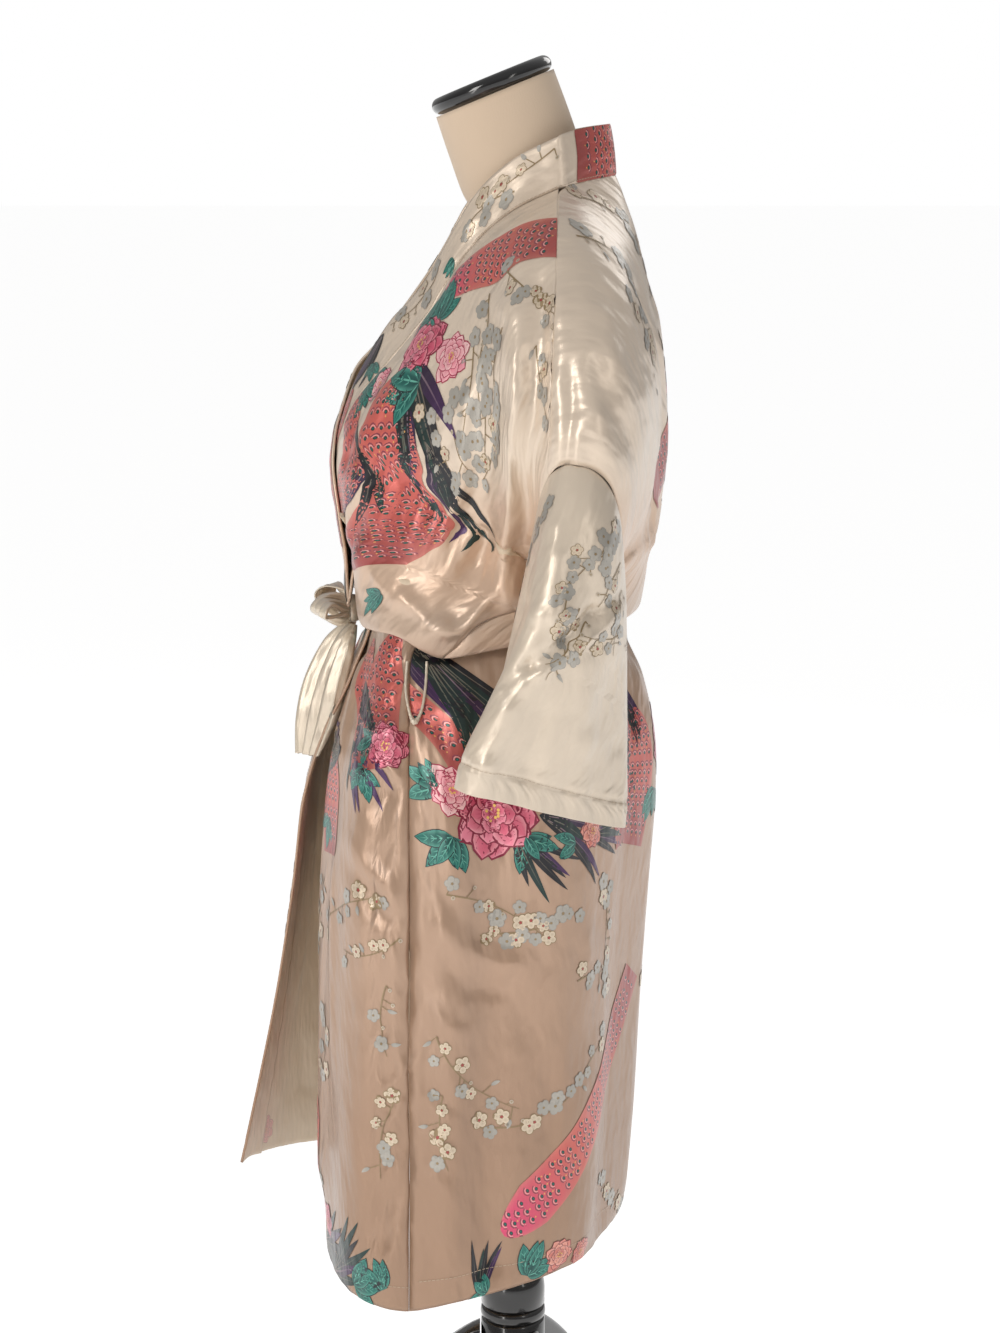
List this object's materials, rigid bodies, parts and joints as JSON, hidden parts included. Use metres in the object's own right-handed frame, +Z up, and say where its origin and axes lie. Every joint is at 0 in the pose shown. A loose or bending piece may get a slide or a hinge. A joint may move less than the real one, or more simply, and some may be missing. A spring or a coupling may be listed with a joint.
{
  "type": "kimono robe on a dress form",
  "caption": "Short satin kimono robe with wide sleeves and a tied waist belt, worn on a limbless dress form with a tripod stand.",
  "frame": {"origin": "centre of the footprint on the floor, under the middle of the whole object's box", "axes": "+Z up; the robe's front faces -Y; the wearer's left is +X"},
  "size_m": [0.5462, 0.4034, 1.298],
  "materials": {
    "printed_satin": "champagne satin with a feather and flower print",
    "plain_satin": "cream satin, unprinted",
    "jersey_cover": "fine matt jersey",
    "cap_lacquer": "polished black",
    "stand_wood": "black gloss lacquer on turned and sawn wood"
  },
  "bodies": {
    "root": {"front_left": "printed_satin", "front_right": "printed_satin", "back": "printed_satin", "sleeve_left": "printed_satin", "sleeve_right": "printed_satin", "neckband_left": "printed_satin", "neckband_right": "printed_satin", "belt": "plain_satin", "bow_knot": "plain_satin", "bow_loop_left": "plain_satin", "bow_loop_right": "plain_satin", "bow_tail_left": "plain_satin", "bow_tail_right": "plain_satin", "carrier_loop_left": "plain_satin", "carrier_loop_right": "plain_satin", "dress_form": "jersey_cover", "neck_cap": "cap_lacquer", "pole": "stand_wood", "stand_hub": "stand_wood", "leg_1": "stand_wood", "leg_2": "stand_wood", "leg_3": "stand_wood"}
  },
  "joints": []
}
